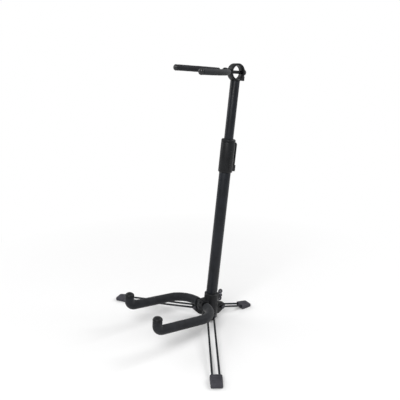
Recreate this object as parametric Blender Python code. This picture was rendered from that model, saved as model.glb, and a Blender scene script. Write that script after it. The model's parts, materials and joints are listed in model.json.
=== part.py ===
"""Folding instrument stand: three folding wire legs, a two-stage mast with a squeeze clutch,
a foam-covered cradle for the body and a foam-covered yoke for the neck.

Metres, +Z up. X is to the right of someone facing the stand, and -Y is its front.
The origin is on the floor, under the middle of the whole stand.
"""

from math import atan2, cos, pi, radians, sin, tan

import bmesh
import bpy
from mathutils import Matrix, Vector

# Clearances and faceting
GAP = 0.0003
CUT_PAST = 0.004
ROUND = 24
WIRE_SIDES = 10
FOAM_SIDES = 16

# Mast
LEAN = radians(6.38)
LOWER_TUBE_R = 0.0115
LOWER_TUBE_WALL = 0.0012
LOWER_TUBE_START = 0.012
LOWER_TUBE_END = 0.340
UPPER_TUBE_R = 0.009
UPPER_TUBE_WALL = 0.001
UPPER_TUBE_START = 0.205
UPPER_TUBE_END = 0.487
GLIDE_LENGTH = 0.014
GLIDE_LIP = 0.0025

# Height clutch
COLLAR_START = 0.313
COLLAR_R = 0.014
SHOULDER_LENGTH = 0.006
CHAMBER_R = 0.0124
CHAMBER_LENGTH = 0.026
CAP_HEIGHT = 0.0057
CAP_CHAMFER = 0.0018
CAP_SPIGOT = 0.002
PLATE_DROP = 0.0095
PLATE_THICKNESS = 0.0025
SPRING_WIRE_R = 0.0006
SPRING_TURNS = 4
SPRING_STEPS = 10
TRIGGER_HALF_WIDTH = 0.0044
TRIGGER_STANDOFF = 0.002
TRIGGER_THICKNESS = 0.003
TRIGGER_PIN_R = 0.00125
TRIGGER_PIN_RISE = 0.009
TRIGGER_FOOT = 0.006
CHEEK_THICKNESS = 0.0025

# Hub
HUB_START = 0.006
HUB_SHOULDER = 0.036
HUB_END = 0.060
HUB_R = 0.016
HUB_NECK_R = 0.0145
HUB_PLUG_FLANGE = 0.0025
CLAMP_SCREW_RISE = 0.0505
CLAMP_SCREW_R = 0.003
CLAMP_BOSS_R = 0.006
CLAMP_BOSS_PROUD = 0.0035
WING_BOSS_R = 0.0045
WING_BOSS_LENGTH = 0.007
WING_EAR_R = 0.005
WING_EAR_OFFSET = 0.008
WING_THICKNESS = 0.0026
WING_HOLE_R = 0.0016

# Legs
FRONT_AZIMUTH = radians(57.2)
FRONT_REACH = 0.2236
REAR_REACH = 0.105
FRONT_PIVOT_REACH = 0.031
REAR_PIVOT_REACH = 0.029
PIVOT_RISE = 0.022
LEG_WIRE_R = 0.002
LEG_WIRE_OFFSET = 0.00635
LEG_EYE_R = 0.005
LEG_EYE_THICKNESS = 0.0036
LEG_PIN_R = 0.002
LEG_PIN_HEAD_R = 0.004
LEG_PIN_HEAD = 0.0014
TONGUE_HALF_WIDTH = 0.004
TONGUE_R = 0.008
TONGUE_BOTTOM = 0.008
STOP_LENGTH = 0.014
STOP_THICKNESS = 0.0025
FOOT_LENGTH = 0.0245
FOOT_HALF_WIDTH = 0.011
FOOT_HEIGHT = 0.0115
FOOT_TIP_HEIGHT = 0.0075
FOOT_BEVEL = 0.0015
WIRE_END_RISE = 0.005
WIRE_END_SETBACK = 0.016

# Cradle
CRADLE_PIVOT_FORWARD = 0.0175
CRADLE_PIVOT_RISE = 0.039
CRADLE_TILT = radians(5.6)
CRADLE_LENGTH = 0.1386
CRADLE_HALF_SPAN = 0.0554
CRADLE_SLEEVE_GAP = 0.0044
CRADLE_BEND_R = 0.012
CRADLE_POST = 0.0205
CRADLE_WIRE_R = 0.003
CRADLE_FOAM_R = 0.0092
CRADLE_CAP_HEIGHT = 0.0075
SADDLE_HALF_WIDTH = 0.009
SADDLE_HALF_HEIGHT = 0.0095
CLAMP_PLATE_DEPTH = 0.0065
CLAMP_SCREW_SPREAD = 0.006
SADDLE_SCREW_R = 0.0015
SADDLE_SCREW_LENGTH = 0.013
SADDLE_HEAD_R = 0.0027
SADDLE_HEAD = 0.0016

# Top ring and yoke
RING_R = 0.016
RING_WALL = 0.0035
RING_HALF_WIDTH = 0.0068
RING_RISE = 0.0161
RING_PLUG = 0.016
RING_FLANGE_R = 0.0094
RING_FLANGE = 0.004
RING_LUG_HALF_WIDTH = 0.003
YOKE_TILT = radians(2.7)
YOKE_SWIVEL = radians(4.3)
YOKE_REACH = 0.1115
YOKE_HALF_SPAN = 0.0402
YOKE_WIRE_R = 0.0025
YOKE_FOAM_R = 0.00575
YOKE_CROTCH = 0.0245
YOKE_BLOCK_R = 0.0072
YOKE_BLOCK_HALF = 0.0068
YOKE_TIP_LENGTH = 0.0058
AXLE_R = 0.003
WASHER_R = 0.006
WASHER_THICKNESS = 0.001
NUT_R = 0.005
NUT_LENGTH = 0.0045
NUT_RIBS = 10
NUT_RIB_DEPTH = 0.0007

# Places worked out from the sizes
CRADLE_CORNER_R = CRADLE_HALF_SPAN - SADDLE_HALF_WIDTH - CRADLE_SLEEVE_GAP
HUB_OFFSET = tan(LEAN) * PIVOT_RISE
CRADLE_FRONT = CRADLE_PIVOT_FORWARD + CRADLE_LENGTH * cos(CRADLE_TILT) + CRADLE_FOAM_R
MAST_FOOT_Y = (CRADLE_FRONT - HUB_OFFSET - REAR_REACH) / 2
HUB_Y = MAST_FOOT_Y + HUB_OFFSET
COLLAR_SHOULDER = LOWER_TUBE_END + GAP
CHAMBER_START = COLLAR_SHOULDER + SHOULDER_LENGTH
COLLAR_END = CHAMBER_START + CHAMBER_LENGTH
RING_CENTRE = UPPER_TUBE_END + RING_RISE
SLIDING_BORE_R = UPPER_TUBE_R + GAP
FIXED_BORE_R = LOWER_TUBE_R + GAP


def clear_scene():
    for item in list(bpy.data.objects):
        bpy.data.objects.remove(item, do_unlink=True)


def material(name, colour, roughness, metallic=0.0):
    finish = bpy.data.materials.new(name)
    finish.use_nodes = True
    shader = finish.node_tree.nodes["Principled BSDF"]
    shader.inputs["Base Color"].default_value = (*colour, 1.0)
    shader.inputs["Roughness"].default_value = roughness
    shader.inputs["Metallic"].default_value = metallic
    return finish


def empty(name, parent=None, location=(0, 0, 0), rotation=(0, 0, 0)):
    anchor = bpy.data.objects.new(name, None)
    bpy.context.scene.collection.objects.link(anchor)
    anchor.parent = parent
    anchor.location = location
    anchor.rotation_euler = rotation
    return anchor


def solid(name, bm, finish, parent=None, rotation=(0, 0, 0)):
    """The object that a finished bmesh becomes, smooth but for its real edges."""
    bmesh.ops.recalc_face_normals(bm, faces=bm.faces)
    mesh = bpy.data.meshes.new(name)
    bm.to_mesh(mesh)
    bm.free()
    mesh.shade_smooth()
    mesh.set_sharp_from_angle(angle=radians(38))
    item = bpy.data.objects.new(name, mesh)
    if finish:
        mesh.materials.append(finish)
    bpy.context.scene.collection.objects.link(item)
    item.parent = parent
    item.rotation_euler = rotation
    return item


def apply_tool(target, tool, operation):
    """Adds or removes the tool's shape, and keeps the tool as a hidden helper."""
    tool.hide_render = True
    tool.display_type = "WIRE"
    change = target.modifiers.new(f"{operation.lower()} {tool.name}", "BOOLEAN")
    change.operation = operation
    change.object = tool


def cut(target, tool):
    apply_tool(target, tool, "DIFFERENCE")


def add(target, tool):
    apply_tool(target, tool, "UNION")


def turned(bm, profile, segments=ROUND, place=Matrix()):
    """A turned body about Z: a closed (radius, height) loop, or a line from pole to pole."""
    rings = []
    for radius, height in profile:
        count = segments if radius > 0 else 1
        ring = []
        for step in range(count):
            angle = 2 * pi * step / segments
            point = Vector((radius * cos(angle), radius * sin(angle), height))
            ring.append(bm.verts.new(place @ point))
        rings.append(ring)
    if profile[0][0] > 0:
        rings.append(rings[0])
    for low, high in zip(rings, rings[1:]):
        for step in range(segments):
            corners = [
                low[step % len(low)],
                low[(step + 1) % len(low)],
                high[(step + 1) % len(high)],
                high[step % len(high)],
            ]
            bm.faces.new(list(dict.fromkeys(corners)))


def cylinder(bm, radius, low, high, segments=ROUND, place=Matrix()):
    turned(bm, [(0, low), (radius, low), (radius, high), (0, high)], segments, place)


def tube(bm, outer, inner, low, high, segments=ROUND, place=Matrix()):
    turned(bm, [(inner, low), (outer, low), (outer, high), (inner, high)], segments, place)


def prism(bm, outline, low_x, high_x):
    """A (y, z) outline given a thickness along X."""
    ends = []
    for x in (low_x, high_x):
        ends.append([bm.verts.new((x, y, z)) for y, z in outline])
    bm.faces.new(ends[0])
    bm.faces.new(ends[1])
    for step in range(len(outline)):
        after = (step + 1) % len(outline)
        bm.faces.new((ends[0][step], ends[0][after], ends[1][after], ends[1][step]))


def box(bm, low, high):
    outline = [(low[1], low[2]), (high[1], low[2]), (high[1], high[2]), (low[1], high[2])]
    prism(bm, outline, low[0], high[0])


def along_x(x=0.0, y=0.0, z=0.0):
    """Places a body turned about Z so that it lies along X."""
    return Matrix.Translation((x, y, z)) @ Matrix.Rotation(pi / 2, 4, "Y")


def along_y(x=0.0, y=0.0, z=0.0):
    """Places a body turned about Z so that it lies along Y."""
    return Matrix.Translation((x, y, z)) @ Matrix.Rotation(-pi / 2, 4, "X")


def swept(bm, path, radius, sides, bore=0.0):
    """A round bar along the path, or a sleeve where it has a bore."""
    tangents = []
    for step in range(len(path)):
        before = path[max(step - 1, 0)]
        after = path[min(step + 1, len(path) - 1)]
        tangents.append((after - before).normalized())
    normal = tangents[0].orthogonal().normalized()
    skins = [[], []]
    for step, point in enumerate(path):
        if step:
            normal.rotate(tangents[step - 1].rotation_difference(tangents[step]))
        across = tangents[step].cross(normal)
        for skin, size in zip(skins, (radius, bore)):
            ring = []
            for side in range(sides):
                angle = 2 * pi * side / sides
                ring.append(bm.verts.new(point + size * (cos(angle) * normal + sin(angle) * across)))
            skin.append(ring)
    if not bore:
        bmesh.ops.delete(bm, geom=[vert for ring in skins.pop() for vert in ring], context="VERTS")
        bm.faces.new(skins[0][0])
        bm.faces.new(skins[0][-1])
    for skin in skins:
        for low, high in zip(skin, skin[1:]):
            for side in range(sides):
                after = (side + 1) % sides
                bm.faces.new((low[side], low[after], high[after], high[side]))
    if bore:
        for end in (0, -1):
            outer, inner = skins[0][end], skins[1][end]
            for side in range(sides):
                after = (side + 1) % sides
                bm.faces.new((outer[side], outer[after], inner[after], inner[side]))


def arc(centre, first, second, steps):
    """A quarter turn about the centre, from the first spoke to the second, both ends included."""
    points = []
    for step in range(steps + 1):
        angle = pi / 2 * step / steps
        points.append(Vector(centre) + cos(angle) * Vector(first) + sin(angle) * Vector(second))
    return points


def mirrored(path):
    return [Vector((-point.x, point.y, point.z)) for point in path]


def helix(radius, low, high, turns):
    count = turns * SPRING_STEPS
    points = []
    for step in range(count + 1):
        angle = 2 * pi * step / SPRING_STEPS
        points.append(Vector((radius * cos(angle), radius * sin(angle), low + (high - low) * step / count)))
    return points


def build_mast(mast, slide, black_steel, nylon):
    bm = bmesh.new()
    inner = LOWER_TUBE_R - LOWER_TUBE_WALL
    tube(bm, LOWER_TUBE_R, inner, LOWER_TUBE_START, LOWER_TUBE_END)
    solid("lower_tube", bm, black_steel, mast)

    bm = bmesh.new()
    tube(bm, UPPER_TUBE_R, UPPER_TUBE_R - UPPER_TUBE_WALL, UPPER_TUBE_START, UPPER_TUBE_END)
    solid("upper_tube", bm, black_steel, slide)

    bm = bmesh.new()
    glide_r = inner - GAP
    glide_low = UPPER_TUBE_START - GAP - GLIDE_LIP
    plug_r = UPPER_TUBE_R - UPPER_TUBE_WALL - GAP
    profile = [
        (plug_r - GLIDE_LIP, glide_low),
        (glide_r, glide_low),
        (glide_r, UPPER_TUBE_START - GAP),
        (plug_r, UPPER_TUBE_START - GAP),
        (plug_r, UPPER_TUBE_START + GLIDE_LENGTH),
        (plug_r - GLIDE_LIP, UPPER_TUBE_START + GLIDE_LENGTH),
    ]
    turned(bm, profile)
    solid("tube_glide", bm, nylon, slide)


def build_collar(mast, trigger, black_plastic, zinc, spring_steel):
    bm = bmesh.new()
    profile = [
        (FIXED_BORE_R, COLLAR_START),
        (COLLAR_R - CAP_CHAMFER, COLLAR_START),
        (COLLAR_R, COLLAR_START + CAP_CHAMFER),
        (COLLAR_R, COLLAR_END),
        (CHAMBER_R, COLLAR_END),
        (CHAMBER_R, CHAMBER_START),
        (SLIDING_BORE_R, CHAMBER_START),
        (SLIDING_BORE_R, COLLAR_SHOULDER),
        (FIXED_BORE_R, COLLAR_SHOULDER),
    ]
    turned(bm, profile)
    body = solid("collar_body", bm, black_plastic, mast)

    pin_rise = COLLAR_START + TRIGGER_PIN_RISE
    trigger_back = COLLAR_R + TRIGGER_STANDOFF + TRIGGER_THICKNESS
    pin_y = COLLAR_R + TRIGGER_STANDOFF + TRIGGER_PIN_R - GAP
    cheek_inner = TRIGGER_HALF_WIDTH + GAP
    cheek_outer = cheek_inner + CHEEK_THICKNESS
    bm = bmesh.new()
    for low_x, high_x in ((-cheek_outer, -cheek_inner), (cheek_inner, cheek_outer)):
        low = (low_x, FIXED_BORE_R - GAP, pin_rise - TRIGGER_FOOT)
        high = (high_x, trigger_back - GAP, pin_rise + TRIGGER_FOOT)
        box(bm, low, high)
    add(body, solid("collar_cheeks", bm, None, mast))
    bm = bmesh.new()
    low = (-cheek_inner, CHAMBER_R - GAP, CHAMBER_START)
    high = (cheek_inner, COLLAR_R + CUT_PAST, COLLAR_END + CUT_PAST)
    box(bm, low, high)
    cut(body, solid("collar_trigger_slot", bm, None, mast))
    bm = bmesh.new()
    reach = cheek_outer + CUT_PAST
    cylinder(bm, TRIGGER_PIN_R + GAP, -reach, reach, WIRE_SIDES, along_x(0, pin_y, pin_rise))
    bore = solid("trigger_pin_bore", bm, None, mast)
    cut(body, bore)

    bm = bmesh.new()
    cap_low = COLLAR_END + GAP
    spigot_r = CHAMBER_R - GAP
    profile = [
        (SLIDING_BORE_R, cap_low - CAP_SPIGOT),
        (spigot_r, cap_low - CAP_SPIGOT),
        (spigot_r, cap_low),
        (COLLAR_R, cap_low),
        (COLLAR_R, cap_low + CAP_HEIGHT - CAP_CHAMFER),
        (COLLAR_R - CAP_CHAMFER, cap_low + CAP_HEIGHT),
        (SLIDING_BORE_R, cap_low + CAP_HEIGHT),
    ]
    turned(bm, profile)
    solid("collar_cap", bm, black_plastic, mast)

    plate_top = COLLAR_END - PLATE_DROP
    plate_low = plate_top - PLATE_THICKNESS
    bm = bmesh.new()
    tube(bm, CHAMBER_R - GAP, SLIDING_BORE_R, plate_low, plate_top)
    solid("clutch_plate", bm, zinc, mast)

    bm = bmesh.new()
    spring_r = (SLIDING_BORE_R + CHAMBER_R) / 2
    low = CHAMBER_START + GAP + SPRING_WIRE_R
    swept(bm, helix(spring_r, low, plate_low - GAP - SPRING_WIRE_R, SPRING_TURNS), SPRING_WIRE_R, 6)
    solid("clutch_spring", bm, spring_steel, mast)

    bm = bmesh.new()
    cylinder(bm, TRIGGER_PIN_R, -cheek_outer, cheek_outer, WIRE_SIDES, along_x(0, pin_y, pin_rise))
    solid("trigger_pin", bm, zinc, mast)

    trigger.location = (0, pin_y, pin_rise)
    inner = COLLAR_R + TRIGGER_STANDOFF - pin_y
    outer = trigger_back - pin_y
    knuckle = COLLAR_R + 2 * GAP - pin_y
    top = COLLAR_END - GAP - pin_rise
    nose_middle = plate_top - PLATE_THICKNESS / 2 - pin_rise
    nose = inner - TRIGGER_STANDOFF + 2 * GAP
    outline = [
        (knuckle, -TRIGGER_FOOT),
        (outer - CAP_CHAMFER, -TRIGGER_FOOT - GAP),
        (outer, -TRIGGER_FOOT + CAP_CHAMFER),
        (outer, top - 2 * CAP_CHAMFER),
        (outer - CAP_CHAMFER, top),
        (inner + GAP, top),
        (inner, top - CAP_CHAMFER),
        (inner, nose_middle + PLATE_THICKNESS),
        (nose, nose_middle + PLATE_THICKNESS / 2),
        (nose, nose_middle - PLATE_THICKNESS / 2),
        (inner, nose_middle - PLATE_THICKNESS),
        (inner, TRIGGER_FOOT),
        (knuckle, TRIGGER_FOOT / 2),
    ]
    bm = bmesh.new()
    prism(bm, outline, -TRIGGER_HALF_WIDTH, TRIGGER_HALF_WIDTH)
    lever = solid("collar_trigger", bm, black_plastic, trigger)
    cut(lever, bore)


def leg_frames():
    """Name, turn about Z, reach of the foot and reach of the pivot, for each leg."""
    return [
        ("front_right", FRONT_AZIMUTH, FRONT_REACH, FRONT_PIVOT_REACH),
        ("front_left", -FRONT_AZIMUTH, FRONT_REACH, FRONT_PIVOT_REACH),
        ("rear", pi, REAR_REACH, REAR_PIVOT_REACH),
    ]


def build_hub(mast, black_plastic, wing):
    bm = bmesh.new()
    profile = [
        (FIXED_BORE_R, HUB_START),
        (HUB_R - CAP_CHAMFER, HUB_START),
        (HUB_R, HUB_START + CAP_CHAMFER),
        (HUB_R, HUB_SHOULDER),
        (HUB_NECK_R, HUB_SHOULDER + CAP_CHAMFER),
        (HUB_NECK_R, HUB_END - CAP_CHAMFER),
        (HUB_NECK_R - CAP_CHAMFER, HUB_END),
        (FIXED_BORE_R, HUB_END),
    ]
    turned(bm, profile)
    hub = solid("hub_body", bm, black_plastic, mast)

    tube_room = FIXED_BORE_R + GAP
    for name, turn, _, pivot_reach in leg_frames():
        side = empty(f"{name}_lug", None, (0, HUB_Y, 0), (0, 0, turn))
        low_z = TONGUE_BOTTOM
        outline = [(-tube_room, low_z), (-pivot_reach + TONGUE_R, low_z)]
        for step in range(9):
            angle = radians(-60) + radians(150) * step / 8
            y = -pivot_reach - TONGUE_R * cos(angle)
            outline.append((y, PIVOT_RISE + TONGUE_R * sin(angle)))
        outline.append((-tube_room, PIVOT_RISE + TONGUE_R))
        bm = bmesh.new()
        prism(bm, outline, -TONGUE_HALF_WIDTH, TONGUE_HALF_WIDTH)
        add(hub, solid(f"{name}_tongue", bm, None, side))
        stop_low = PIVOT_RISE + LEG_EYE_R + GAP
        stop_half = LEG_WIRE_OFFSET + LEG_WIRE_R
        bm = bmesh.new()
        low = (-stop_half, -pivot_reach, stop_low)
        high = (stop_half, -pivot_reach + STOP_LENGTH, stop_low + STOP_THICKNESS)
        box(bm, low, high)
        add(hub, solid(f"{name}_stop", bm, None, side))
    for name, turn, _, pivot_reach in leg_frames():
        bore_side = bpy.data.objects[f"{name}_lug"]
        bm = bmesh.new()
        reach = TONGUE_HALF_WIDTH + CUT_PAST
        place = along_x(0, -pivot_reach, PIVOT_RISE)
        cylinder(bm, LEG_PIN_R + GAP, -reach, reach, WIRE_SIDES, place)
        cut(hub, solid(f"{name}_pin_bore", bm, None, bore_side))

    saddle_y = MAST_FOOT_Y - CRADLE_PIVOT_FORWARD
    bm = bmesh.new()
    low = (-SADDLE_HALF_WIDTH, saddle_y + GAP / 2, CRADLE_PIVOT_RISE - SADDLE_HALF_HEIGHT)
    high = (SADDLE_HALF_WIDTH, HUB_Y - LOWER_TUBE_R / 2, CRADLE_PIVOT_RISE + SADDLE_HALF_HEIGHT)
    box(bm, low, high)
    add(hub, solid("saddle_block", bm, None))
    bm = bmesh.new()
    boss_back = HUB_NECK_R + CLAMP_BOSS_PROUD
    place = along_y(0, 0, CLAMP_SCREW_RISE)
    cylinder(bm, CLAMP_BOSS_R, LOWER_TUBE_R, boss_back, ROUND, place)
    add(hub, solid("clamp_boss", bm, None, mast))
    bm = bmesh.new()
    cylinder(bm, FIXED_BORE_R, HUB_START - CUT_PAST, HUB_END + CUT_PAST)
    cut(hub, solid("mast_bore", bm, None, mast))
    bm = bmesh.new()
    cylinder(bm, CLAMP_SCREW_R + GAP, LOWER_TUBE_R / 2, boss_back + CUT_PAST, 14, place)
    cut(hub, solid("clamp_screw_bore", bm, None, mast))
    bm = bmesh.new()
    reach = SADDLE_HALF_WIDTH + CUT_PAST
    groove_place = along_x(0, saddle_y, CRADLE_PIVOT_RISE)
    cylinder(bm, CRADLE_WIRE_R + GAP, -reach, reach, ROUND, groove_place)
    groove = solid("cradle_groove", bm, None)
    cut(hub, groove)
    bm = bmesh.new()
    plate_front = saddle_y - GAP / 2 - CLAMP_PLATE_DEPTH
    for side in (-1, 1):
        place = along_y(0, plate_front, CRADLE_PIVOT_RISE + side * CLAMP_SCREW_SPREAD)
        reach = SADDLE_SCREW_LENGTH + GAP
        cylinder(bm, SADDLE_SCREW_R + GAP, -CUT_PAST, reach, WIRE_SIDES, place)
    screw_bores = solid("saddle_screw_bores", bm, None)
    cut(hub, screw_bores)

    bm = bmesh.new()
    low = (-SADDLE_HALF_WIDTH, plate_front, CRADLE_PIVOT_RISE - SADDLE_HALF_HEIGHT)
    high = (SADDLE_HALF_WIDTH, saddle_y - GAP / 2, CRADLE_PIVOT_RISE + SADDLE_HALF_HEIGHT)
    box(bm, low, high)
    plate = solid("cradle_clamp_plate", bm, black_plastic)
    rounding = plate.modifiers.new("moulded edges", "BEVEL")
    rounding.width = CAP_CHAMFER / 2
    rounding.segments = 1
    cut(plate, groove)
    cut(plate, screw_bores)

    bm = bmesh.new()
    plug_top = LOWER_TUBE_START - GAP
    flange_top = HUB_START - GAP
    profile = [
        (0, flange_top - HUB_PLUG_FLANGE),
        (HUB_R - 2 * CAP_CHAMFER, flange_top - HUB_PLUG_FLANGE),
        (HUB_R - CAP_CHAMFER, flange_top),
        (LOWER_TUBE_R, flange_top),
        (LOWER_TUBE_R, plug_top),
        (0, plug_top),
    ]
    turned(bm, profile)
    solid("hub_bottom_plug", bm, black_plastic, mast)

    wing.location = (0, 0, CLAMP_SCREW_RISE)
    bm = bmesh.new()
    head_low = boss_back + GAP
    head_high = head_low + WING_BOSS_LENGTH
    profile = [
        (0, LOWER_TUBE_R + GAP),
        (CLAMP_SCREW_R, LOWER_TUBE_R + GAP),
        (CLAMP_SCREW_R, head_low),
        (WING_BOSS_R, head_low),
        (WING_BOSS_R, head_high),
        (0, head_high),
    ]
    turned(bm, profile, ROUND, along_y())
    return bm, head_high


def build_wing_screw(bm, head_high, wing, zinc):
    screw = solid("hub_wing_screw", bm, zinc, wing)
    ear_y = head_high - WING_EAR_R / 2
    half = WING_THICKNESS / 2
    for label, size, operation in (("ears", WING_EAR_R, add), ("ear_holes", WING_HOLE_R, cut)):
        bm = bmesh.new()
        reach = half if operation is add else half + CUT_PAST
        for side in (-1, 1):
            place = along_x(0, ear_y, side * WING_EAR_OFFSET)
            cylinder(bm, size, -reach, reach, 16, place)
        operation(screw, solid(f"wing_{label}", bm, None, wing))


def build_saddle_screws(zinc):
    front = MAST_FOOT_Y - CRADLE_PIVOT_FORWARD - GAP / 2 - CLAMP_PLATE_DEPTH
    profile = [
        (0, -GAP - SADDLE_HEAD),
        (SADDLE_HEAD_R, -GAP - SADDLE_HEAD),
        (SADDLE_HEAD_R, -GAP),
        (SADDLE_SCREW_R, -GAP),
        (SADDLE_SCREW_R, SADDLE_SCREW_LENGTH),
        (0, SADDLE_SCREW_LENGTH),
    ]
    for label, side in (("lower", -1), ("upper", 1)):
        bm = bmesh.new()
        place = along_y(0, front, CRADLE_PIVOT_RISE + side * CLAMP_SCREW_SPREAD)
        turned(bm, profile, 12, place)
        solid(f"cradle_clamp_screw_{label}", bm, zinc)


def build_leg(name, turn, foot_reach, pivot_reach, black_steel, rubber, zinc):
    """A pair of wires that swings down about a rivet through the hub's tongue, in one foot."""
    run = foot_reach - WIRE_END_SETBACK - pivot_reach
    slope = atan2(PIVOT_RISE - WIRE_END_RISE, run)
    length = run / cos(slope)
    azimuth = Matrix.Rotation(turn, 4, "Z")
    place = azimuth @ Vector((0, -pivot_reach, 0)) + Vector((0, HUB_Y, PIVOT_RISE))
    pivot = empty(f"{name}_leg_pivot", None, place, (slope, 0, turn))

    bm = bmesh.new()
    reach = LEG_WIRE_OFFSET + LEG_WIRE_R + CUT_PAST
    cylinder(bm, LEG_PIN_R + GAP, -reach, reach, WIRE_SIDES, along_x())
    eye_bore = solid(f"{name}_eye_bore", bm, None, pivot)
    half = LEG_EYE_THICKNESS / 2
    for label, side in (("a", -1), ("b", 1)):
        bm = bmesh.new()
        wire_place = along_y(side * LEG_WIRE_OFFSET, 0, 0)
        cylinder(bm, LEG_WIRE_R, -length, -LEG_EYE_R * 0.7, WIRE_SIDES, wire_place)
        wire = solid(f"{name}_leg_wire_{label}", bm, black_steel, pivot)
        bm = bmesh.new()
        cylinder(bm, LEG_EYE_R, -half, half, 16, along_x(side * LEG_WIRE_OFFSET, 0, 0))
        add(wire, solid(f"{name}_eye_{label}", bm, None, pivot))
        cut(wire, eye_bore)

    bm = bmesh.new()
    tip = -(foot_reach - pivot_reach)
    heel = tip + FOOT_LENGTH
    floor = -PIVOT_RISE
    outline = [
        (heel, floor),
        (heel, floor + FOOT_HEIGHT),
        (tip + FOOT_LENGTH / 3, floor + FOOT_HEIGHT),
        (tip, floor + FOOT_TIP_HEIGHT),
        (tip, floor),
    ]
    prism(bm, outline, -FOOT_HALF_WIDTH, FOOT_HALF_WIDTH)
    foot = solid(f"{name}_foot", bm, rubber, pivot, (-slope, 0, 0))
    rounding = foot.modifiers.new("moulded edges", "BEVEL")
    rounding.width = FOOT_BEVEL
    rounding.segments = 1
    bm = bmesh.new()
    for side in (-1, 1):
        wire_place = along_y(side * LEG_WIRE_OFFSET, 0, 0)
        cylinder(bm, LEG_WIRE_R + GAP, -length - GAP, 0, WIRE_SIDES, wire_place)
    cut(foot, solid(f"{name}_foot_bores", bm, None, pivot))

    bm = bmesh.new()
    shank = LEG_WIRE_OFFSET + LEG_EYE_THICKNESS / 2 + GAP
    end = shank + LEG_PIN_HEAD
    profile = [
        (0, -end),
        (LEG_PIN_HEAD_R, -end),
        (LEG_PIN_HEAD_R, -shank),
        (LEG_PIN_R, -shank),
        (LEG_PIN_R, shank),
        (LEG_PIN_HEAD_R, shank),
        (LEG_PIN_HEAD_R, end),
        (0, end),
    ]
    turned(bm, profile, WIRE_SIDES, along_x(0, -pivot_reach, PIVOT_RISE))
    solid(f"{name}_leg_rivet", bm, zinc, bpy.data.objects[f"{name}_lug"])


def cradle_path():
    """The right half of the bent wire, from the middle of the clamp to the top of the post."""
    corner_x = CRADLE_HALF_SPAN - CRADLE_CORNER_R
    path = [Vector((0, 0, 0))]
    spoke, out = (0, CRADLE_CORNER_R, 0), (CRADLE_CORNER_R, 0, 0)
    path += arc((corner_x, -CRADLE_CORNER_R, 0), spoke, out, 8)
    run = CRADLE_LENGTH - CRADLE_BEND_R
    middle = (CRADLE_CORNER_R + run) / 2
    path.append(Vector((CRADLE_HALF_SPAN, -middle, 0)))
    centre = (CRADLE_HALF_SPAN, -run, CRADLE_BEND_R)
    path += arc(centre, (0, 0, -CRADLE_BEND_R), (0, -CRADLE_BEND_R, 0), 4)
    path.append(Vector((CRADLE_HALF_SPAN, -CRADLE_LENGTH, CRADLE_POST)))
    return path


def build_cradle(cradle, black_steel, foam, black_plastic):
    half = cradle_path()
    bm = bmesh.new()
    swept(bm, list(reversed(mirrored(half[1:]))) + half, CRADLE_WIRE_R, WIRE_SIDES)
    solid("cradle_wire", bm, black_steel, cradle)
    sleeve = half[1:-1] + [half[-1] - Vector((0, 0, 2 * GAP))]
    for label, path in (("right", sleeve), ("left", mirrored(sleeve))):
        bm = bmesh.new()
        swept(bm, path, CRADLE_FOAM_R, FOAM_SIDES, CRADLE_WIRE_R + 2 * GAP)
        solid(f"cradle_sleeve_{label}", bm, foam, cradle)
        bm = bmesh.new()
        post = path[-1]
        low = CRADLE_POST + GAP
        chamfer = CRADLE_CAP_HEIGHT / 2
        profile = [
            (0, low),
            (CRADLE_FOAM_R, low),
            (CRADLE_FOAM_R, low + CRADLE_CAP_HEIGHT - chamfer),
            (CRADLE_FOAM_R * 0.85, low + CRADLE_CAP_HEIGHT - chamfer / 3),
            (CRADLE_FOAM_R * 0.45, low + CRADLE_CAP_HEIGHT),
            (0, low + CRADLE_CAP_HEIGHT),
        ]
        turned(bm, profile, FOAM_SIDES, Matrix.Translation((post.x, post.y, 0)))
        solid(f"cradle_cap_{label}", bm, black_plastic, cradle)


def yoke_path():
    """The right half of the neck fork, a smooth curve from its crotch to the prong's end."""
    end = Vector((YOKE_HALF_SPAN, -YOKE_REACH + YOKE_TIP_LENGTH, 0))
    start = Vector((0, -YOKE_CROTCH, 0))
    pull_out = start + Vector((YOKE_HALF_SPAN * 0.55, 0, 0))
    pull_back = end + Vector((-YOKE_HALF_SPAN * 0.12, YOKE_REACH * 0.42, 0))
    points = []
    steps = 12
    for step in range(steps + 1):
        t = step / steps
        near = (1 - t) ** 3 * start + 3 * (1 - t) ** 2 * t * pull_out
        points.append(near + 3 * (1 - t) * t**2 * pull_back + t**3 * end)
    return points


def build_ring(slide, yoke, black_plastic):
    bm = bmesh.new()
    inner = RING_R - RING_WALL
    place = along_x(0, 0, RING_CENTRE)
    tube(bm, RING_R, inner, -RING_HALF_WIDTH, RING_HALF_WIDTH, 32, place)
    ring = solid("top_ring", bm, black_plastic, slide)
    bm = bmesh.new()
    plug_r = UPPER_TUBE_R - UPPER_TUBE_WALL - GAP
    seat = UPPER_TUBE_END + GAP
    profile = [
        (0, UPPER_TUBE_END - RING_PLUG),
        (plug_r, UPPER_TUBE_END - RING_PLUG),
        (plug_r, seat),
        (RING_FLANGE_R, seat),
        (RING_FLANGE_R, seat + RING_FLANGE / 2),
        (RING_FLANGE_R * 0.8, seat + RING_FLANGE),
        (0, seat + RING_FLANGE),
    ]
    turned(bm, profile)
    add(ring, solid("ring_plug", bm, None, slide))
    bm = bmesh.new()
    low = (-RING_LUG_HALF_WIDTH, inner - RING_WALL / 2, RING_CENTRE - inner - RING_WALL / 2)
    high = (RING_LUG_HALF_WIDTH, RING_R + RING_WALL, RING_CENTRE - NUT_R - 3 * GAP)
    box(bm, low, high)
    add(ring, solid("ring_lug", bm, None, slide))
    bm = bmesh.new()
    cylinder(bm, inner, -RING_HALF_WIDTH - CUT_PAST, RING_HALF_WIDTH + CUT_PAST, 32, place)
    cut(ring, solid("ring_hole", bm, None, slide))
    bm = bmesh.new()
    reach = RING_R + CUT_PAST
    cylinder(bm, AXLE_R + GAP, -reach, reach, 16, along_y())
    cut(ring, solid("axle_bore", bm, None, yoke))


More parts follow.
